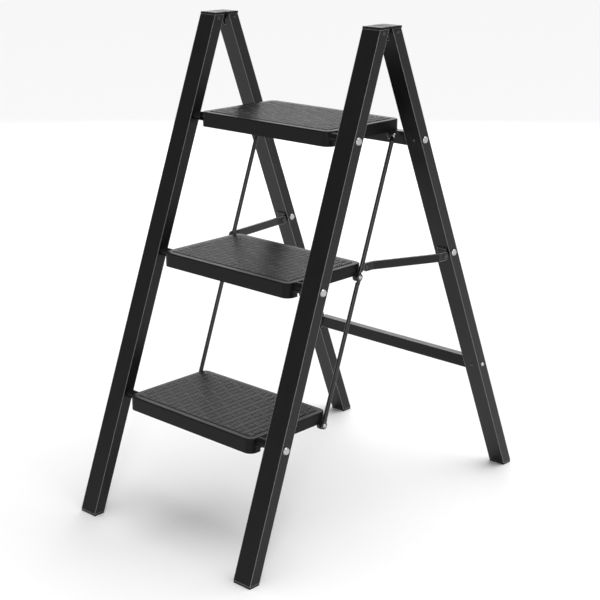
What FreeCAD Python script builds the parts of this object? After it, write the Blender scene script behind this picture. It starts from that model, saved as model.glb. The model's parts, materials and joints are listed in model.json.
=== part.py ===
import FreeCAD, Part
import Sketcher
import math
import os

# Folding three-step stool: an A-frame of rectangular tubes, three treads hung
# between the front legs, link rods that keep the treads parallel, and a pair of
# flat stays that spread the rear frame. X is to the right, Y to the rear, Z up.
# The origin is on the floor, midway between the four feet. Sizes are in mm.

SIZES = (
    ("stool_height", 916), ("foot_height", 4), ("cap_thick", 4), ("cap_lip", 0.6), ("cap_width", 40.8),
    ("cap_joint_y", -17.2),
    ("front_width", 40), ("rear_width", 36), ("leg_depth", 22), ("leg_wall", 1.5),
    ("front_floor_x", 207.6), ("front_top_x", 200.35), ("front_floor_y", -365.5), ("front_top_y", -33.4),
    ("rear_floor_x", 219.2), ("rear_top_x", 199.17), ("rear_floor_y", 365.4), ("rear_top_y", -1),
    ("tread_half_width", 161), ("tread_depth", 196), ("tread_height", 27), ("tread_side_height", 21),
    ("pan_wall", 2), ("pan_top", 3), ("corner_radius", 15), ("rim_width", 11), ("mat_recess", 1.4),
    ("mat_thick", 1), ("pan_edge", 2.2), ("skirt_corner_run", 24),
    ("pivot_low", 225.5), ("pivot_middle", 484.5), ("pivot_high", 731),
    ("lift_low", 7), ("lift_middle", 7), ("lift_high", 10),
    ("reach_low", 20.5), ("reach_middle", 20.5), ("reach_high", 9),
    ("pin_radius", 3), ("pin_play", 0.08), ("bush_radius", 8), ("head_radius", 7), ("head_thick", 2.4),
    ("link_back", 160.2), ("link_drop", 17), ("boss_radius", 8), ("boss_thick", 2), ("bracket_thick", 2),
    ("eye_thick", 2.5), ("eye_radius", 7), ("rod_radius", 4), ("rod_centre_x", 165.8), ("rod_start", 10),
    ("small_head_radius", 3.9), ("foot_inset", 0.4), ("small_head_thick", 1.8),
    ("bar_height", 24), ("bar_depth", 15), ("bar_wall", 1.5), ("bar_recess", 7.8), ("bar_gap", 0.2),
    ("high_bar_level", 707.7), ("low_bar_level", 237), ("tab_thick", 2), ("tab_drop", 3), ("tab_inset", 1),
    ("high_rivet_rise", 2), ("low_rivet_rise", 3),
    ("hinge_level", 905), ("tongue_thick", 5), ("tongue_radius", 6.5), ("slot_play", 0.4), ("slot_drop", 14.5),
    ("stay_level", 490), ("stay_offset", 10.5), ("stay_height", 16), ("stay_thick", 3),
    ("stay_front_x", 171), ("stay_flat", 18), ("stay_length", 168), ("clip_thick", 2.5),
    ("clip_half", 9), ("clip_height", 20), ("stay_slope", 1.36),
)

origin = FreeCAD.Vector(0, 0, 0)
plus_x = FreeCAD.Vector(1, 0, 0)
minus_x = FreeCAD.Vector(-1, 0, 0)
plus_z = FreeCAD.Vector(0, 0, 1)


class Dim:
    """A number together with the sheet expression that gives it."""

    def __init__(self, value, text=None):
        self.value = float(value)
        self.text = text if text is not None else "(%s)" % repr(float(value))

    def _join(self, other, sign, value):
        other_text = other.text if isinstance(other, Dim) else "(%s)" % repr(float(other))
        return Dim(value, "(%s %s %s)" % (self.text, sign, other_text))

    def __add__(self, other):
        return self._join(other, "+", self.value + number(other))

    def __sub__(self, other):
        return self._join(other, "-", self.value - number(other))

    def __mul__(self, other):
        return self._join(other, "*", self.value * number(other))

    def __truediv__(self, other):
        return self._join(other, "/", self.value / number(other))

    def __neg__(self):
        return self * -1


def number(item):
    return item.value if isinstance(item, Dim) else float(item)


def root(dim):
    return Dim(math.sqrt(dim.value), "sqrt(%s)" % dim.text)


doc = FreeCAD.newDocument("step_stool")
sheet = doc.addObject("Spreadsheet::Sheet", "Sizes")
size = {}
for row, (alias, value) in enumerate(SIZES, start=1):
    sheet.set("A%d" % row, alias)
    sheet.set("B%d" % row, str(value))
    sheet.setAlias("B%d" % row, alias)
    size[alias] = Dim(value, "Sizes.%s" % alias)
doc.recompute()

zero = Dim(0)
tall = size["stool_height"]
foot = size["foot_height"]
pin = size["pin_radius"]
exported = []


def bind(item, **dims):
    """Bind properties of an object to sheet expressions."""
    for prop, dim in dims.items():
        item.setExpression(prop.replace("__", "."), dim.text)


def place(item, x=zero, y=zero, z=zero, axis=None, angle=None):
    if axis is not None:
        item.Placement = FreeCAD.Placement(origin, FreeCAD.Rotation(FreeCAD.Vector(*axis), 0.001))
        item.setExpression("Placement.Rotation.Angle", angle.text)
    bind(item, Placement__Base__x=x, Placement__Base__y=y, Placement__Base__z=z)
    return item


def export_later(item, label):
    item.Label = label
    exported.append(item)
    return item


def box(name, x0, x1, y0, y1, z0, z1):
    item = doc.addObject("Part::Box", name)
    bind(item, Length=x1 - x0, Width=y1 - y0, Height=z1 - z0)
    return place(item, x0, y0, z0)


def rod_x(name, radius, x0, x1, y, z):
    """A cylinder lying along X from x0 to x1."""
    item = doc.addObject("Part::Cylinder", name)
    item.Placement = FreeCAD.Placement(origin, FreeCAD.Rotation(FreeCAD.Vector(0, 1, 0), 90))
    bind(item, Radius=radius, Height=x1 - x0)
    return place(item, x0, y, z)


def cone_x(name, radius_at_x0, radius_at_x1, x0, x1, y, z):
    item = doc.addObject("Part::Cone", name)
    item.Placement = FreeCAD.Placement(origin, FreeCAD.Rotation(FreeCAD.Vector(0, 1, 0), 90))
    bind(item, Radius1=radius_at_x0, Radius2=radius_at_x1, Height=x1 - x0)
    return place(item, x0, y, z)


def fuse(name, items):
    item = doc.addObject("Part::MultiFuse", name)
    item.Shapes = items
    item.Refine = True
    return item


def group(name, items):
    item = doc.addObject("Part::Compound", name)
    item.Links = items
    return item


def cut(name, base, tools):
    item = doc.addObject("Part::Cut", name)
    item.Base = base
    item.Tool = tools[0] if len(tools) == 1 else group(name + "_tools", tools)
    return item


def side_dims(side, near, far):
    """Order two distances from the middle plane along +X for one side."""
    return (near, far) if side > 0 else (-far, -near)


def side_rod(name, radius, side, near, far, y, z):
    x0, x1 = side_dims(side, near, far)
    return rod_x(name, radius, x0, x1, y, z)


def side_box(name, side, near, far, y0, y1, z0, z1):
    x0, x1 = side_dims(side, near, far)
    return box(name, x0, x1, y0, y1, z0, z1)


def side_head(name, side, face, radius, thick, y, z, outward=True):
    """A low button head standing off a face, with a sloping edge."""
    rim = radius - thick * 0.6
    far = face + thick if outward else face - thick
    near_radius, far_radius = (radius, rim)
    if (side > 0) == outward:
        start = face if side > 0 else -face
        end = far if side > 0 else -far
        return cone_x(name, near_radius, far_radius, start, end, y, z)
    start = far if side > 0 else -far
    end = face if side > 0 else -face
    return cone_x(name, far_radius, near_radius, start, end, y, z)


def plane_of(body, role):
    for feature in body.Origin.OriginFeatures:
        if feature.Role == role:
            return feature
    raise ValueError(role)


def polygon(sketch, points):
    """A closed outline whose corners are driven by expressions."""
    first = sketch.GeometryCount
    count = len(points)
    for i, (px, py) in enumerate(points):
        qx, qy = points[(i + 1) % count]
        start = FreeCAD.Vector(number(px), number(py), 0)
        sketch.addGeometry(Part.LineSegment(start, FreeCAD.Vector(number(qx), number(qy), 0)))
    for i in range(count):
        sketch.addConstraint(Sketcher.Constraint("Coincident", first + i, 2, first + (i + 1) % count, 1))
    for i, point in enumerate(points):
        for kind, dim in zip(("DistanceX", "DistanceY"), point):
            index = sketch.addConstraint(Sketcher.Constraint(kind, -1, 1, first + i, 1, dim.value))
            label = "%s_%d" % (kind, first + i)
            sketch.renameConstraint(index, label)
            sketch.setExpression("Constraints.%s" % label, dim.text)


def rectangle(sketch, x0, x1, y0, y1):
    polygon(sketch, [(x0, y0), (x1, y0), (x1, y1), (x0, y1)])


def rounded_rectangle(sketch, x0, x1, y0, y1, radius):
    """A rectangle with rounded corners, every straight end driven by expressions."""
    first = sketch.GeometryCount
    ends = [((x0 + radius, y0), (x1 - radius, y0)), ((x1, y0 + radius), (x1, y1 - radius)),
            ((x1 - radius, y1), (x0 + radius, y1)), ((x0, y1 - radius), (x0, y0 + radius))]
    centres = [(x1 - radius, y0 + radius), (x1 - radius, y1 - radius), (x0 + radius, y1 - radius),
               (x0 + radius, y0 + radius)]
    for start, end in ends:
        line = Part.LineSegment(FreeCAD.Vector(number(start[0]), number(start[1]), 0),
                                FreeCAD.Vector(number(end[0]), number(end[1]), 0))
        sketch.addGeometry(line)
    for i, centre in enumerate(centres):
        ring = Part.Circle(FreeCAD.Vector(number(centre[0]), number(centre[1]), 0), plus_z, number(radius))
        turn = math.radians(-90 + 90 * i)
        sketch.addGeometry(Part.ArcOfCircle(ring, turn, turn + math.pi / 2))
    for i in range(4):
        sketch.addConstraint(Sketcher.Constraint("Coincident", first + i, 2, first + 4 + i, 1))
        sketch.addConstraint(Sketcher.Constraint("Coincident", first + 4 + i, 2, first + (i + 1) % 4, 1))
        index = sketch.addConstraint(Sketcher.Constraint("Radius", first + 4 + i, radius.value))
        sketch.setExpression("Constraints[%d]" % index, radius.text)
        for vertex, point in zip((1, 2), ends[i]):
            for kind, dim in zip(("DistanceX", "DistanceY"), point):
                index = sketch.addConstraint(Sketcher.Constraint(kind, -1, 1, first + i, vertex, dim.value))
                sketch.setExpression("Constraints[%d]" % index, dim.text)


def new_sketch(body, name, role="XY_Plane", offset=None):
    sketch = body.newObject("Sketcher::SketchObject", name)
    sketch.AttachmentSupport = [(plane_of(body, role), "")]
    sketch.MapMode = "FlatFace"
    if offset is not None:
        sketch.setExpression("AttachmentOffset.Base.z", offset.text)
    return sketch


def axis_point(kind, level):
    """Distance from the middle plane and Y of a leg's centre line at one level."""
    share = level / tall
    x = size[kind + "_floor_x"] + (size[kind + "_top_x"] - size[kind + "_floor_x"]) * share
    y = size[kind + "_floor_y"] + (size[kind + "_top_y"] - size[kind + "_floor_y"]) * share
    return x, y


def slope(kind):
    return (size[kind + "_top_y"] - size[kind + "_floor_y"]) / tall


def stretch(kind):
    """Level section depth over square section depth for a leaning leg."""
    lean = slope(kind)
    return root(lean * lean + 1)


def lean_angle(kind):
    dim = slope(kind)
    return Dim(math.degrees(math.atan(dim.value)), "atan(%s)" % dim.text)


def tube_body(name, kind, side):
    """A leg: rectangular tube, leaning and splayed, with level ends."""
    body = doc.addObject("PartDesign::Body", name)
    half_x = size[kind + "_width"] / 2
    half_y = size["leg_depth"] * stretch(kind) / 2
    wall_y = size["leg_wall"] * stretch(kind)
    sketch = new_sketch(body, name + "_section")
    rectangle(sketch, -half_x, half_x, -half_y, half_y)
    inner_x = half_x - size["leg_wall"]
    inner_y = half_y - wall_y
    rectangle(sketch, -inner_x, inner_x, -inner_y, inner_y)
    pad = body.newObject("PartDesign::Pad", name + "_pad")
    pad.Profile = sketch
    pad.UseCustomVector = True
    pad.AlongSketchNormal = True
    run_x = (size[kind + "_top_x"] - size[kind + "_floor_x"]) / tall * side
    pad.Direction = FreeCAD.Vector(run_x.value, slope(kind).value, 1)
    pad.setExpression("Direction.x", run_x.text)
    pad.setExpression("Direction.y", slope(kind).text)
    bind(pad, Length=tall - foot - size["cap_thick"])
    start_x, start_y = axis_point(kind, foot)
    return place(body, start_x * side, start_y, foot)


def foot_plug(name, kind, side):
    """A foot: a pad the size of the tube end with a plug inside the tube."""
    x, y = axis_point(kind, foot)
    x = x * side
    half_x = size[kind + "_width"] / 2
    half_y = size["leg_depth"] * stretch(kind) / 2
    inset = size["foot_inset"]
    base = box(name + "_pad", x - half_x + inset, x + half_x - inset, y - half_y + inset,
               y + half_y - inset, zero, foot)
    inner_x = half_x - size["leg_wall"] - 0.6
    inner_y = half_y - size["leg_wall"] * 2 - 0.6
    plug = box(name + "_plug", x - inner_x, x + inner_x, y - inner_y, y + inner_y, foot, foot + 3)
    export_later(fuse(name, [base, plug]), name)


def cap_plate(name, kind, side, y_outer, y_inner):
    """One half of the flat cap that closes a leg top, with its meeting edge bevelled."""
    body = doc.addObject("PartDesign::Body", name)
    sketch = new_sketch(body, name + "_profile", "YZ_Plane")
    top = size["cap_thick"]
    bevel = Dim(1.5 if number(y_outer) < number(y_inner) else -1.5)
    polygon(sketch, [(y_outer, zero), (y_inner, zero), (y_inner, top - 2), (y_inner - bevel, top),
                     (y_outer, top)])
    pad = body.newObject("PartDesign::Pad", name + "_pad")
    pad.Profile = sketch
    pad.SideType = "Symmetric"
    bind(pad, Length=size["cap_width"])
    x = axis_point(kind, tall)[0]
    export_later(place(body, x * side, zero, tall - top), name)


def tread_pan(name, level, lift, reach):
    """A tread pan: a shallow tray turned upside down with a recess for its mat."""
    body = doc.addObject("PartDesign::Body", name)
    half = size["tread_half_width"]
    front = -reach
    back = front + size["tread_depth"]
    corner = size["corner_radius"]
    sketch = new_sketch(body, name + "_outline", offset=lift)
    rounded_rectangle(sketch, -half, half, front, back, corner)
    pad = body.newObject("PartDesign::Pad", name + "_pad")
    pad.Profile = sketch
    pad.Reversed = True
    bind(pad, Length=size["tread_height"])
    doc.recompute()
    rim = body.newObject("PartDesign::Fillet", name + "_rim")
    rim.Base = (pad, edges_where(pad.Shape, lambda e: e.BoundBox.ZMin > lift.value - 0.01))
    bind(rim, Radius=size["pan_edge"])
    doc.recompute()
    wall = size["pan_wall"]
    hollow = new_sketch(body, name + "_hollow", offset=lift - size["pan_top"])
    rounded_rectangle(hollow, wall - half, half - wall, front + wall, back - wall, corner - wall)
    pocket(body, name + "_hollow_cut", hollow, size["tread_height"])
    margin = size["rim_width"]
    recess = new_sketch(body, name + "_recess", offset=lift)
    rounded_rectangle(recess, margin - half, half - margin, front + margin, back - margin, corner / 2)
    pocket(body, name + "_recess_cut", recess, size["mat_recess"])
    skirt = new_sketch(body, name + "_skirt", "YZ_Plane")
    low = lift - size["tread_height"]
    rectangle(skirt, front + size["skirt_corner_run"], back + 1, low - 1, lift - size["tread_side_height"])
    through(body, name + "_skirt_cut", skirt)
    holes = new_sketch(body, name + "_pivot_holes", "YZ_Plane")
    circle(holes, zero, zero, pin + size["pin_play"])
    through(body, name + "_pivot_cut", holes)
    y = axis_point("front", level)[1]
    export_later(place(body, zero, y, level), name)


def edges_where(shape, test):
    return ["Edge%d" % (i + 1) for i, edge in enumerate(shape.Edges) if test(edge)]


def circle(sketch, x, y, radius):
    index = sketch.addGeometry(Part.Circle(FreeCAD.Vector(number(x), number(y), 0), plus_z, number(radius)))
    for kind, dim in (("DistanceX", x), ("DistanceY", y)):
        at = sketch.addConstraint(Sketcher.Constraint(kind, -1, 1, index, 3, dim.value))
        sketch.setExpression("Constraints[%d]" % at, dim.text)
    at = sketch.addConstraint(Sketcher.Constraint("Radius", index, radius.value))
    sketch.setExpression("Constraints[%d]" % at, radius.text)


def pocket(body, name, sketch, depth):
    """A pocket going down from its sketch."""
    before = body.Tip.Shape.Volume
    item = body.newObject("PartDesign::Pocket", name)
    item.Profile = sketch
    bind(item, Length=depth)
    doc.recompute()
    check_removed(item, before)


def through(body, name, sketch):
    """A cut through everything, both ways from its sketch."""
    before = body.Tip.Shape.Volume
    item = body.newObject("PartDesign::Pocket", name)
    item.Profile = sketch
    item.Type = "ThroughAll"
    item.SideType = "Symmetric"
    doc.recompute()
    check_removed(item, before)


def check_removed(item, before):
    if item.Shape.Volume >= before:
        raise RuntimeError("%s removed nothing" % item.Name)


def tread_mat(name, level, lift, reach):
    half = size["tread_half_width"] - size["rim_width"] - 0.2
    front = size["rim_width"] - reach + 0.2
    back = size["tread_depth"] - reach - size["rim_width"] - 0.2
    x, y = axis_point("front", level)
    low = level + lift - size["mat_recess"]
    slab = box(name + "_slab", -half, half, y + front, y + back, low, low + size["mat_thick"])
    doc.recompute()
    rounded = doc.addObject("Part::Fillet", name)
    rounded.Base = slab
    radius = size["corner_radius"].value / 2
    upright = [i + 1 for i, e in enumerate(slab.Shape.Edges) if abs(e.tangentAt(e.FirstParameter).z) > 0.99]
    rounded.Edges = [(i, radius, radius) for i in upright]
    export_later(rounded, name)


def link_point(level):
    """Y and Z of the link pin on the tread hung at one level."""
    y = axis_point("front", level)[1]
    return y + size["link_back"], level - size["link_drop"]


def lane(index):
    """Where each link eye begins, counted outwards from the bosses."""
    first = size["tread_half_width"] + size["boss_thick"] + 0.2
    return first + (size["eye_thick"] + 0.2) * index


def link_pins(name, level, lift):
    """A bracket inside each side skirt, and the pin through it that carries the link eyes."""
    y, z = link_point(level)
    radius = size["boss_radius"]
    skirt_out = size["tread_half_width"]
    skirt_in = skirt_out - size["pan_wall"]
    bracket_in = skirt_in - size["bracket_thick"]
    boss_out = skirt_out + size["boss_thick"]
    skirt_foot = level + lift - size["tread_side_height"]
    pan_underside = level + lift - size["pan_top"]
    head_face = lane(2)
    bosses = []
    pins = []
    for side in (-1, 1):
        tag = "%s_%s" % (name, "left" if side < 0 else "right")
        plate = side_box(tag + "_plate", side, bracket_in, skirt_in, y - radius, y, z, pan_underside)
        disc = side_rod(tag + "_disc", radius, side, bracket_in, boss_out, y, z)
        skirt = side_box(tag + "_skirt_room", side, skirt_in, skirt_out, y - radius * 2, y + radius * 2,
                         skirt_foot, pan_underside)
        corner = side_box(tag + "_corner_room", side, bracket_in - 1, skirt_in, y, y + radius * 2,
                          skirt_foot, pan_underside)
        hole = side_rod(tag + "_hole", pin, side, bracket_in - 1, boss_out + 1, y, z)
        bosses.append(cut(tag + "_boss", fuse(tag + "_bracket", [plate, disc]), [skirt, corner, hole]))
        shank = side_rod(tag + "_shank", pin, side, bracket_in, head_face, y, z)
        head = side_head(tag + "_head", side, head_face, size["small_head_radius"],
                         size["small_head_thick"], y, z)
        pins.append(fuse(tag + "_pin", [shank, head]))
    export_later(group(name + "_link_bosses", bosses), name + "_link_bosses")
    export_later(group(name + "_link_pins", pins), name + "_link_pins")


def link_rod(name, side, lower_level, upper_level, which):
    """A round rod with flattened eyes, lying parallel to the front legs."""
    y, z = link_point(lower_level)
    length = (upper_level - lower_level) * stretch("front")
    near = lane(which)
    far = near + size["eye_thick"]
    x0, x1 = side_dims(side, near, far)
    parts = []
    holes = []
    reach = size["rod_start"] + 3
    width = size["eye_radius"]
    for tag, start, way in (("foot", zero, 1), ("top", length, -1)):
        label = "%s_%s" % (name, tag)
        parts.append(rod_x(label + "_eye", width, x0, x1, zero, start))
        low, high = (start, start + reach) if way > 0 else (start - reach, start)
        parts.append(box(label + "_flat", x0, x1, -size["rod_radius"], size["rod_radius"], low, high))
        holes.append(rod_x(label + "_hole", pin + size["pin_play"], x0 - 1, x1 + 1, zero, start))
    shaft = doc.addObject("Part::Cylinder", name + "_shaft")
    bind(shaft, Radius=size["rod_radius"], Height=length - size["rod_start"] * 2)
    parts.append(place(shaft, size["rod_centre_x"] * side, zero, size["rod_start"]))
    whole = cut(name, fuse(name + "_solid", parts), holes)
    export_later(place(whole, zero, y, z, (-1, 0, 0), lean_angle("front")), name)


def step_pivots():
    """Rivets that hang the treads, and the bushes that hold them off the legs."""
    rivets = []
    bushes = []
    for tag, level in (("low", size["pivot_low"]), ("middle", size["pivot_middle"]), ("high",
                                                                                      size["pivot_high"])):
        x, y = axis_point("front", level)
        inner = x - size["front_width"] / 2
        outer = x + size["front_width"] / 2
        edge = size["tread_half_width"]
        for side in (-1, 1):
            label = "%s_%s" % (tag, "left" if side < 0 else "right")
            shank = side_rod(label + "_shank", pin, side, edge - size["pan_wall"] - 1, outer, y, level)
            head = side_head(label + "_head", side, outer + 0.1, size["head_radius"],
                             size["head_thick"], y, level)
            stem = side_rod(label + "_stem", pin, side, outer, outer + 1, y, level)
            rivets.append(fuse(label + "_rivet", [shank, stem, head]))
            tube = side_rod(label + "_tube", size["bush_radius"], side, edge + 0.3, inner - 0.1, y, level)
            bore = side_rod(label + "_bore", pin, side, edge - 1, inner + 1, y, level)
            bushes.append(cut(label + "_bush", tube, [bore]))
    export_later(group("tread_pivot_rivets", rivets), "tread_pivot_rivets")
    export_later(group("tread_pivot_bushes", bushes), "tread_pivot_bushes")


def through_rivet(label, kind, side, y, z, radius, head_radius, tail=True):
    """A rivet across a leg: a button head outside, and a head or a flush end plate inside."""
    x = axis_point(kind, z)[0]
    outer = x + size[kind + "_width"] / 2
    inner = x - size[kind + "_width"] / 2
    head = side_head(label + "_out", side, outer + 0.1, head_radius, size["small_head_thick"], y, z)
    if not tail:
        end = inner - size["bar_gap"] - size["tab_thick"]
        return fuse(label, [side_rod(label + "_shank", radius, side, end, outer + 0.8, y, z), head])
    shank = side_rod(label + "_shank", radius, side, inner - 0.8, outer + 0.8, y, z)
    end = side_head(label + "_in", side, inner - 0.1, head_radius, size["small_head_thick"], y, z, False)
    return fuse(label, [shank, head, end])


def leg_holes(name, kind, side, levels):
    """Drill a leg across at the given levels."""
    drills = []
    for i, (y, z, radius) in enumerate(levels):
        x = axis_point(kind, z)[0]
        half = size[kind + "_width"]
        drills.append(side_rod("%s_drill_%d" % (name, i), radius, side, x - half, x + half, y, z))
    return drills


def on_leg(kind, level, forward=0.0):
    y = axis_point(kind, level)[1]
    return y - forward, level


def front_frame():
    hinge_y, hinge_z = on_leg("rear", size["hinge_level"])
    grip_y, grip_z = on_leg("front", size["hinge_level"])
    plates = []
    cap_rivets = []
    for side, word in ((-1, "left"), (1, "right")):
        name = "front_leg_" + word
        spots = [on_leg("front", size[key]) + (pin,) for key in ("pivot_low", "pivot_middle", "pivot_high")]
        spots.append((grip_y, grip_z, pin))
        drills = leg_holes(name, "front", side, spots)
        x = axis_point("front", size["hinge_level"])[0]
        half = size["tongue_thick"] / 2
        low = hinge_z - size["tongue_radius"]
        slot = side_box(name + "_slot", side, x - half, x + half, grip_y, grip_y + 25, low, tall)
        export_later(cut(name, tube_body(name + "_tube", "front", side), drills + [slot]), name)
        foot_plug("front_foot_" + word, "front", side)
        edge = size["front_top_y"] - size["leg_depth"] * stretch("front") / 2 - size["cap_lip"]
        cap_plate("front_cap_" + word, "front", side, edge, size["cap_joint_y"] - 0.2)
        plate = side_box(word + "_tongue_bar", side, x - half, x + half, grip_y - 8, hinge_y, low,
                         grip_z + 5)
        end = side_rod(word + "_tongue_end", size["tongue_radius"], side, x - half, x + half, hinge_y,
                       hinge_z)
        trim = side_box(word + "_tongue_trim", side, x - half - 1, x + half + 1, hinge_y - 9, hinge_y + 9,
                        grip_z + 5, grip_z + 12)
        eye = side_rod(word + "_tongue_eye", pin + size["pin_play"], side, x - half - 1, x + half + 1,
                       hinge_y, hinge_z)
        hold = side_rod(word + "_tongue_hold", pin, side, x - half - 1, x + half + 1, grip_y, grip_z)
        plates.append(cut(word + "_tongue", fuse(word + "_tongue_blank", [plate, end]), [trim, eye, hold]))
        cap_rivets.append(through_rivet(word + "_cap_rivet", "front", side, grip_y, grip_z, pin,
                                        size["small_head_radius"]))
    export_later(group("hinge_tongues", plates), "hinge_tongues")
    export_later(group("hinge_tongue_rivets", cap_rivets), "hinge_tongue_rivets")
    step_pivots()


def rear_frame():
    hinge = on_leg("rear", size["hinge_level"])
    high = on_leg("rear", size["high_bar_level"] + size["high_rivet_rise"])
    middle = on_leg("rear", size["stay_level"] - 4)
    low = on_leg("rear", size["low_bar_level"] + size["low_rivet_rise"])
    pins = []
    rivets = []
    for side, word in ((-1, "left"), (1, "right")):
        name = "rear_leg_" + word
        drills = leg_holes(name, "rear", side, [spot + (pin,) for spot in (hinge, high, middle, low)])
        x = axis_point("front", size["hinge_level"])[0]
        half = size["tongue_thick"] / 2 + size["slot_play"]
        slot = side_box(name + "_slot", side, x - half, x + half, hinge[0] - 25, hinge[0] + 1,
                        hinge[1] - size["slot_drop"], tall)
        export_later(cut(name, tube_body(name + "_tube", "rear", side), drills + [slot]), name)
        foot_plug("rear_foot_" + word, "rear", side)
        edge = size["rear_top_y"] + size["leg_depth"] * stretch("rear") / 2 + size["cap_lip"]
        cap_plate("rear_cap_" + word, "rear", side, edge, size["cap_joint_y"] + 0.2)
        pins.append(through_rivet(word + "_hinge_pin", "rear", side, hinge[0], hinge[1], pin,
                                  size["small_head_radius"]))
        for tag, spot, head in (("high", high, 6.5), ("middle", middle, 6.5), ("low", low, 4)):
            label = "%s_%s_rivet" % (word, tag)
            rivets.append(through_rivet(label, "rear", side, spot[0], spot[1], pin, Dim(head),
                                        tail=tag == "middle"))
    export_later(group("hinge_pins", pins), "hinge_pins")
    export_later(group("rear_leg_rivets", rivets), "rear_leg_rivets")
    for key, label in (("high", "upper_cross_bar"), ("low", "lower_cross_bar")):
        cross_bar(label, size[key + "_bar_level"], size[key + "_rivet_rise"])
    face_rivets()


def cross_bar(name, level, rivet_rise):
    """A level box bar between the rear legs, with a plate at each end."""
    x, y = axis_point("rear", level)
    inner = x - size["rear_width"] / 2
    front = y - size["leg_depth"] * stretch("rear") / 2 + size["bar_recess"]
    body = doc.addObject("PartDesign::Body", name)
    half_y = size["bar_depth"] / 2
    half_z = size["bar_height"] / 2
    sketch = new_sketch(body, name + "_section", "YZ_Plane")
    rectangle(sketch, -half_y, half_y, -half_z, half_z)
    wall = size["bar_wall"]
    rectangle(sketch, wall - half_y, half_y - wall, wall - half_z, half_z - wall)
    pad = body.newObject("PartDesign::Pad", name + "_pad")
    pad.Profile = sketch
    pad.SideType = "Symmetric"
    outer = inner - size["bar_gap"]
    near = outer - size["tab_thick"]
    bind(pad, Length=near * 2)
    export_later(place(body, zero, front + half_y, level), name)
    tabs = []
    for side in (-1, 1):
        label = "%s_%s" % (name, "left" if side < 0 else "right")
        inset = size["tab_inset"]
        drop = size["tab_drop"]
        plate = side_box(label + "_plate", side, near, outer, front + inset,
                         front + size["bar_depth"] - inset,
                         level - half_z - drop, level + half_z - inset - drop)
        rivet_y, rivet_z = on_leg("rear", level + rivet_rise)
        hole = side_rod(label + "_hole", pin, side, near - 1, outer + 1, rivet_y, rivet_z)
        tabs.append(cut(label + "_tab", plate, [hole]))
    export_later(group(name + "_end_plates", tabs), name + "_end_plates")


def face_rivets():
    """Small button heads on the front faces of the rear legs."""
    heads = []
    for side in (-1, 1):
        for tag, level in (("high", size["high_bar_level"]), ("low", size["low_bar_level"])):
            x = axis_point("rear", level)[0]
            label = "face_rivet_%s_%s" % (tag, "left" if side < 0 else "right")
            head = doc.addObject("Part::Cone", label)
            bind(head, Radius1=size["small_head_radius"], Radius2=size["small_head_radius"] - 1.2,
                 Height=Dim(1.6))
            local = place_on_face(head, x * side, level, zero, zero)
            heads.append(local)
    export_later(group("face_rivets", heads), "face_rivets")


def place_on_face(item, x, level, across, up):
    """Stand an item made along Z on the front face of a rear leg, pointing forward."""
    y = axis_point("rear", level)[1]
    half = size["leg_depth"] * stretch("rear") / 2
    lean = lean_angle("rear")
    item.Placement = FreeCAD.Placement(origin, FreeCAD.Rotation(plus_x, 90))
    item.setExpression("Placement.Rotation.Angle", "90 deg - %s" % lean.text)
    bind(item, Placement__Base__x=x + across, Placement__Base__y=y - half, Placement__Base__z=level + up)
    return item


def stay_clips():
    """Angle clips on the rear legs; each carries the pin of one stay."""
    clips = []
    pins = []
    x, y = axis_point("rear", size["stay_level"])
    face = size["leg_depth"] / 2
    out = face + size["stay_offset"]
    thick = size["clip_thick"]
    half = size["clip_height"] / 2
    for side, word in ((-1, "left"), (1, "right")):
        centre = x * side
        edge = centre + size["clip_half"]
        base = box(word + "_clip_base", centre - size["clip_half"], edge + thick, -face - thick, -face,
                   -half, half)
        leaf = box(word + "_clip_leaf", edge, edge + thick, -out, -face, -half + 2, half - 2)
        nose = rod_x(word + "_clip_nose", half - 2, edge, edge + thick, -out, zero)
        clips.append(fuse(word + "_clip", [base, leaf, nose]))
        start = edge + thick
        end = start + 0.3 + size["stay_thick"] + 0.2
        shank = rod_x(word + "_stay_shank", pin, start, end, -out, zero)
        head = cone_x(word + "_stay_head", size["small_head_radius"] + 1, size["small_head_radius"], end,
                      end + size["small_head_thick"], -out, zero)
        pins.append(fuse(word + "_stay_pin", [shank, head]))
    lean = -lean_angle("rear").value
    for name, items in (("stay_clips", clips), ("stay_pins", pins)):
        whole = group(name, items)
        whole.Placement = FreeCAD.Placement(origin, FreeCAD.Rotation(plus_x, lean))
        whole.setExpression("Placement.Rotation.Angle", "0 deg - %s" % lean_angle("rear").text)
        bind(whole, Placement__Base__y=y, Placement__Base__z=size["stay_level"])
        export_later(whole, name)


def stay_pivot():
    """Y and Z of the rear pivot of the stays."""
    y = axis_point("rear", size["stay_level"])[1]
    out = size["leg_depth"] / 2 + size["stay_offset"]
    lean = slope("rear")
    return y - out / stretch("rear"), size["stay_level"] + out * lean / stretch("rear")


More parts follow.
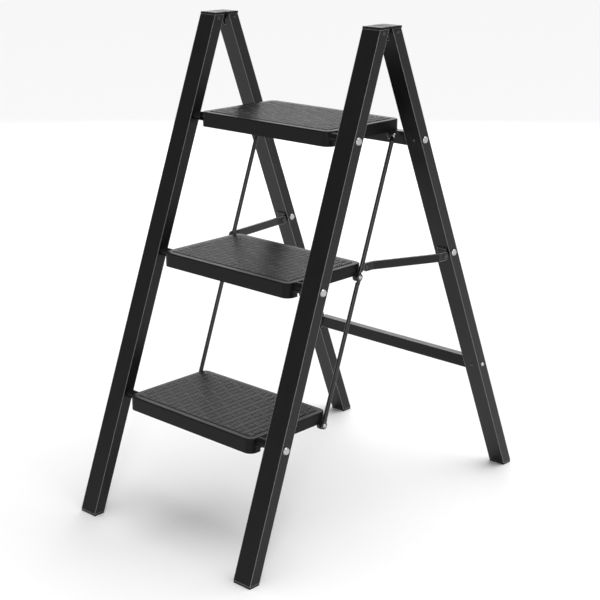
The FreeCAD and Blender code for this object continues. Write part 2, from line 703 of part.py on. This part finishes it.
def stay(name, side):
    """A flat bar from the middle tread to the rear leg, set on edge and cranked."""
    x = axis_point("rear", size["stay_level"])[0]
    back_x = x * side + size["clip_half"] + size["clip_thick"] + 0.3
    front_x = size["stay_front_x"] if side > 0 else -size["stay_front_x"] - size["stay_thick"]
    thick = size["stay_thick"]
    run = size["stay_length"]
    flat = size["stay_flat"]
    over = size["stay_height"] / 2
    path = [(back_x, over), (back_x, -flat), (front_x, flat - run), (front_x, -run - over)]
    outline = path + [(px + thick, py) for px, py in reversed(path)]
    body = doc.addObject("PartDesign::Body", name + "_bar")
    sketch = new_sketch(body, name + "_plan")
    polygon(sketch, outline)
    pad = body.newObject("PartDesign::Pad", name + "_pad")
    pad.Profile = sketch
    pad.SideType = "Symmetric"
    bind(pad, Length=size["stay_height"])
    doc.recompute()
    ends = edges_where(pad.Shape, lambda e: e.BoundBox.XLength > 1 and e.BoundBox.YLength < 0.01)
    rounded = body.newObject("PartDesign::Fillet", name + "_ends")
    rounded.Base = (pad, ends)
    bind(rounded, Radius=over - 0.5)
    doc.recompute()
    holes = [rod_x(name + "_rear_hole", pin + size["pin_play"], back_x - 1, back_x + thick + 1, zero, zero)]
    bar = cut(name, body, holes)
    y, z = stay_pivot()
    bar.Placement = FreeCAD.Placement(origin, FreeCAD.Rotation(minus_x, 1))
    bind(bar, Placement__Rotation__Angle=size["stay_slope"], Placement__Base__y=y, Placement__Base__z=z)
    export_later(bar, name)


def stay_rivets():
    """The rivet heads at the front ends of the stays."""
    heads = []
    face = size["stay_front_x"] + size["stay_thick"]
    for side, word in ((-1, "left"), (1, "right")):
        heads.append(side_head(word + "_stay_rivet", side, face, size["small_head_radius"],
                               size["small_head_thick"],
                               -size["stay_length"], zero))
    whole = group("stay_front_rivets", heads)
    y, z = stay_pivot()
    whole.Placement = FreeCAD.Placement(origin, FreeCAD.Rotation(minus_x, 1))
    bind(whole, Placement__Rotation__Angle=size["stay_slope"], Placement__Base__y=y, Placement__Base__z=z)
    export_later(whole, "stay_front_rivets")


front_frame()
rear_frame()
for word, key in (("bottom", "low"), ("middle", "middle"), ("top", "high")):
    hung = (size["pivot_" + key], size["lift_" + key], size["reach_" + key])
    tread_pan(word + "_tread_pan", *hung)
    tread_mat(word + "_tread_mat", *hung)
    link_pins(word + "_tread", size["pivot_" + key], size["lift_" + key])
for side, word in ((-1, "left"), (1, "right")):
    link_rod("upper_link_rod_" + word, side, size["pivot_middle"], size["pivot_high"], 0)
    link_rod("lower_link_rod_" + word, side, size["pivot_low"], size["pivot_middle"], 1)
    stay("stay_" + word, side)
stay_clips()
stay_rivets()

doc.recompute()
for item in doc.Objects:
    if "Invalid" in item.State or "Error" in item.State:
        raise RuntimeError("%s failed: %s" % (item.Name, item.State))
os.makedirs("parts", exist_ok=True)
for item in exported:
    if item.Shape.isNull() or not item.Shape.isValid() or not item.Shape.Solids:
        raise RuntimeError("%s has no sound solid" % item.Label)
    item.Shape.exportStep("parts/%s.step" % item.Label)
print("%d nodes written" % len(exported))
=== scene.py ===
import json
import math

import bmesh
import bpy
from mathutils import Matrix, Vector


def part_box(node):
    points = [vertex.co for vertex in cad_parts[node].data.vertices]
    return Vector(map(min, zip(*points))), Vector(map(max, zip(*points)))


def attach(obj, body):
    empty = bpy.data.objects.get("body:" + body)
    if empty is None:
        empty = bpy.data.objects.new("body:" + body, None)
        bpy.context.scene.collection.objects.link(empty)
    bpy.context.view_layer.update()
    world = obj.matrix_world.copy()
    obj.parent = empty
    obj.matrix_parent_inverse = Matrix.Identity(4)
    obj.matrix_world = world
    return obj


# Looks for the folding three-step stool. Lengths are metres, in the frame of
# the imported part: X right, Y to the rear, Z up, origin on the floor.

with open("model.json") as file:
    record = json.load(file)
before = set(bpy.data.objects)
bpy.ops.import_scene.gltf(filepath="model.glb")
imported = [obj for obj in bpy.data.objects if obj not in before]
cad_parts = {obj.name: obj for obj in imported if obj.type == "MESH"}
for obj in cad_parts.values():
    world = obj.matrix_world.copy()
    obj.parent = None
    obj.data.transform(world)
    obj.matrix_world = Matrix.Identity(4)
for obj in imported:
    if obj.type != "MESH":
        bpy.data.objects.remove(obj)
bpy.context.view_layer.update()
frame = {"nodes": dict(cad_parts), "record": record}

CAMERA_PLACE = (1.7293, -1.8561, 1.1560)
CAMERA_YAW = 43.10
CAMERA_DOWN = 16.93
CAMERA_LENS = 83.2

RIB_BLOCK = 0.0140
RIB_COUNT = 3
RIB_WIDTH = 0.0026
RIB_HEIGHT = 0.0013
RIB_MARGIN = 0.0016
RIB_GAP = 0.0008
RIB_SINK = 0.0001
RIB_FLANK = 0.45
TURNED_EVERY = 4

# Grey painted into the base colour along corners: a painted edge highlight.
EDGE_HIGHLIGHT_GREY = (0.26, 0.26, 0.265)
CORNER_START = 0.995
CORNER_FULL = 0.93
GLOSS_BELOW = 0.05
GLOSS_ABOVE = 0.07
PATCH_SCALE = 26.0
GRAIN_DEPTH = 0.0002

FLOOR_SIZE = 120
FLOOR_GREY = 0.9
ROOM_LIGHT = 0.3
SUN_POWER = 2.5
SUN_SPREAD = 70
SUN_TILT = (-18, 8)
LAMPS = (
    ("side", (3.2, 0.4, 1.5), 1.8, 12),
    ("edge", (2.3, -2.9, 1.5), 0.5, 34),
    ("rear", (-2.6, 2.8, 1.7), 2.2, 34),
)


# ---- materials --------------------------------------------------------------

def add(tree, kind, **inputs):
    """A shader node with the given input values."""
    node = tree.nodes.new(kind)
    for name, value in inputs.items():
        node.inputs[name.replace("_", " ")].default_value = value
    return node


def paint_edge_highlights(tree, colour, target, reach):
    """Mix a lighter grey into a colour where the surface turns a corner: a painted edge highlight."""
    soft = tree.nodes.new("ShaderNodeBevel")
    soft.samples = 6
    soft.inputs["Radius"].default_value = reach
    surface = tree.nodes.new("ShaderNodeNewGeometry")
    turn = tree.nodes.new("ShaderNodeVectorMath")
    turn.operation = "DOT_PRODUCT"
    tree.links.new(soft.outputs["Normal"], turn.inputs[0])
    tree.links.new(surface.outputs["True Normal"], turn.inputs[1])
    mask = tree.nodes.new("ShaderNodeMapRange")
    mask.inputs["From Min"].default_value = CORNER_START
    mask.inputs["From Max"].default_value = CORNER_FULL
    tree.links.new(turn.outputs["Value"], mask.inputs["Value"])
    mix = tree.nodes.new("ShaderNodeMix")
    mix.data_type = "RGBA"
    mix.inputs["B"].default_value = (*EDGE_HIGHLIGHT_GREY, 1)
    tree.links.new(mask.outputs["Result"], mix.inputs["Factor"])
    tree.links.new(colour, mix.inputs["A"])
    tree.links.new(mix.outputs["Result"], target)


def finish_material(name, colour, rough, metal=0.0, grain=0.0, grain_scale=900.0, wear=0.0,
                    edge=0.0, edge_highlight_reach=0.0, specular=0.5):
    """A procedural finish: base colour, uneven gloss, fine grain, softened edges and, when asked, painted
    edge highlights.
    """
    material = bpy.data.materials.new(name)
    material.use_nodes = True
    tree = material.node_tree
    shader = tree.nodes["Principled BSDF"]
    shader.inputs["Metallic"].default_value = metal
    shader.inputs["Specular IOR Level"].default_value = specular
    place = tree.nodes.new("ShaderNodeTexCoord")

    patches = add(tree, "ShaderNodeTexNoise", Scale=PATCH_SCALE, Detail=4.0, Roughness=0.6)
    tree.links.new(place.outputs["Object"], patches.inputs["Vector"])
    gloss = tree.nodes.new("ShaderNodeMapRange")
    gloss.inputs["To Min"].default_value = rough - GLOSS_BELOW
    gloss.inputs["To Max"].default_value = rough + GLOSS_ABOVE
    tree.links.new(patches.outputs["Fac"], gloss.inputs["Value"])
    tree.links.new(gloss.outputs["Result"], shader.inputs["Roughness"])

    ramp = tree.nodes.new("ShaderNodeValToRGB")
    ramp.color_ramp.elements[0].position = 0.35
    ramp.color_ramp.elements[1].position = 0.75
    ramp.color_ramp.elements[0].color = (*colour, 1)
    ramp.color_ramp.elements[1].color = (*(c * (1 + wear) for c in colour), 1)
    tree.links.new(patches.outputs["Fac"], ramp.inputs["Fac"])
    tree.links.new(ramp.outputs["Color"], shader.inputs["Base Color"])
    # Lighter grey painted along the corners: a painted edge highlight.
    if edge_highlight_reach:
        paint_edge_highlights(tree, ramp.outputs["Color"], shader.inputs["Base Color"], edge_highlight_reach)

    normal = None
    if edge:
        soft = tree.nodes.new("ShaderNodeBevel")
        soft.samples = 4
        soft.inputs["Radius"].default_value = edge
        normal = soft.outputs["Normal"]
    if grain:
        speckle = add(tree, "ShaderNodeTexNoise", Scale=grain_scale, Detail=2.0)
        tree.links.new(place.outputs["Object"], speckle.inputs["Vector"])
        bump = tree.nodes.new("ShaderNodeBump")
        bump.inputs["Strength"].default_value = grain
        bump.inputs["Distance"].default_value = GRAIN_DEPTH
        tree.links.new(speckle.outputs["Fac"], bump.inputs["Height"])
        if normal:
            tree.links.new(normal, bump.inputs["Normal"])
        normal = bump.outputs["Normal"]
    if normal:
        tree.links.new(normal, shader.inputs["Normal"])
    return material


finishes = {
    "frame_tube": finish_material("black_powder_coat", (0.0045, 0.0045, 0.0048), 0.33, grain=0.10,
                                  grain_scale=1400, wear=0.35, edge_highlight_reach=0.0016, specular=0.26),
    "link_rod": finish_material("black_rod_coat", (0.006, 0.006, 0.0063), 0.32, grain=0.08, wear=0.3),
    "moulded_black": finish_material("black_moulding", (0.0045, 0.0045, 0.0048), 0.40, grain=0.16,
                                     grain_scale=1100, wear=0.25, edge=0.0006, specular=0.14),
    "tread_rubber": finish_material("tread_rubber", (0.020, 0.020, 0.0205), 0.34, grain=0.12, wear=0.3,
                                    specular=0.6),
    "foot_rubber": finish_material("foot_rubber", (0.004, 0.004, 0.004), 0.55, grain=0.2, wear=0.2,
                                   specular=0.35),
    "bright_rivet": finish_material("zinc_rivet", (0.46, 0.46, 0.455), 0.3, metal=1.0, wear=0.08,
                                    edge=0.0004),
    "black_rivet": finish_material("blackened_steel", (0.05, 0.05, 0.05), 0.35, metal=0.8, wear=0.2),
}
# The mat floor between the ribs is a much darker copy of the tread rubber: painted shade in the grooves
# between the ribs.
groove_shade = finish_material("tread_groove", (0.0025, 0.0025, 0.0026), 0.6, grain=0.12, wear=0.2, specular=0.15)

slot_of = {part["node"]: part["material_slot"] for part in frame["record"]["subparts"]}
for node, item in frame["nodes"].items():
    item.data.materials.clear()
    item.data.materials.append(groove_shade if node.endswith("_tread_mat") else finishes[slot_of[node]])


# ---- raised ribs on the treads ----------------------------------------------

def add_rib(mesh, centre, half_x, half_y, base, top):
    """One low ridge with sloping flanks."""
    x, y = centre
    slope = min(half_x, half_y) * RIB_FLANK
    corners = ((-1, -1), (1, -1), (1, 1), (-1, 1))
    low = [mesh.verts.new((x + half_x * a, y + half_y * b, base)) for a, b in corners]
    crest_x = half_x - slope
    crest_y = half_y - slope
    high = [mesh.verts.new((x + crest_x * a, y + crest_y * b, top)) for a, b in corners]
    mesh.faces.new(high)
    mesh.faces.new(low[::-1])
    for k in range(4):
        n = (k + 1) % 4
        mesh.faces.new((low[k], low[n], high[n], high[k]))


def rib_field(word):
    """Blocks of short ridges over one mat, one block in four turned a quarter."""
    low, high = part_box(word + "_tread_mat")
    width = high.x - low.x - RIB_MARGIN * 2
    depth = high.y - low.y - RIB_MARGIN * 2
    across = round(width / RIB_BLOCK)
    along = round(depth / RIB_BLOCK)
    step_x = width / across
    step_y = depth / along
    mesh = bmesh.new()
    for i in range(across):
        for j in range(along):
            corner_x = low.x + RIB_MARGIN + step_x * i
            corner_y = low.y + RIB_MARGIN + step_y * j
            turned = (i + 2 * j) % TURNED_EVERY == 0
            for k in range(RIB_COUNT):
                share = (k + 0.5) / RIB_COUNT
                if turned:
                    centre = (corner_x + step_x * share, corner_y + step_y / 2)
                    half = (RIB_WIDTH / 2, step_y / 2 - RIB_GAP)
                else:
                    centre = (corner_x + step_x / 2, corner_y + step_y * share)
                    half = (step_x / 2 - RIB_GAP, RIB_WIDTH / 2)
                add_rib(mesh, centre, *half, high.z - RIB_SINK, high.z + RIB_HEIGHT)
    data = bpy.data.meshes.new(word + "_tread_ribs")
    mesh.to_mesh(data)
    mesh.free()
    ribs = bpy.data.objects.new(word + "_tread_ribs", data)
    bpy.context.scene.collection.objects.link(ribs)
    data.materials.append(finishes["tread_rubber"])
    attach(ribs, word + "_tread")


for word in ("bottom", "middle", "top"):
    rib_field(word)


# ---- floor, light and camera ------------------------------------------------

def area_light(name, place, aim, size, power):
    """A soft square lamp pointed at a place."""
    lamp = bpy.data.lights.new(name, "AREA")
    lamp.size = size
    lamp.energy = power
    item = bpy.data.objects.new(name, lamp)
    item.location = place
    item.rotation_euler = (Vector(aim) - Vector(place)).to_track_quat("-Z", "Y").to_euler()
    bpy.context.scene.collection.objects.link(item)


def pale_floor():
    """A wide plain floor."""
    bpy.ops.mesh.primitive_plane_add(size=FLOOR_SIZE)
    floor = bpy.context.object
    floor.name = "floor"
    material = bpy.data.materials.new("pale_floor")
    material.use_nodes = True
    shader = material.node_tree.nodes["Principled BSDF"]
    shader.inputs["Base Color"].default_value = (FLOOR_GREY, FLOOR_GREY, FLOOR_GREY, 1)
    shader.inputs["Roughness"].default_value = 0.9
    shader.inputs["Specular IOR Level"].default_value = 0.1
    floor.data.materials.append(material)


pale_floor()
middle = (0, 0, 0.45)
for name, place, width, power in LAMPS:
    area_light(name, place, middle, width, power)

sun = bpy.data.lights.new("overhead", "SUN")
sun.energy = SUN_POWER
sun.angle = math.radians(SUN_SPREAD)
overhead = bpy.data.objects.new("overhead", sun)
overhead.rotation_euler = (math.radians(SUN_TILT[0]), math.radians(SUN_TILT[1]), 0)
bpy.context.scene.collection.objects.link(overhead)

world = bpy.data.worlds.new("studio")
world.use_nodes = True
world.node_tree.nodes["Background"].inputs["Color"].default_value = (1, 1, 1, 1)
world.node_tree.nodes["Background"].inputs["Strength"].default_value = ROOM_LIGHT
bpy.context.scene.world = world
bpy.context.scene.view_settings.view_transform = "Standard"

lens = bpy.data.cameras.new("camera")
lens.lens = CAMERA_LENS
lens.sensor_width = 36
camera = bpy.data.objects.new("camera", lens)
camera.location = CAMERA_PLACE
camera.rotation_euler = (math.radians(90 - CAMERA_DOWN), 0, math.radians(CAMERA_YAW))
bpy.context.scene.collection.objects.link(camera)
bpy.context.scene.camera = camera
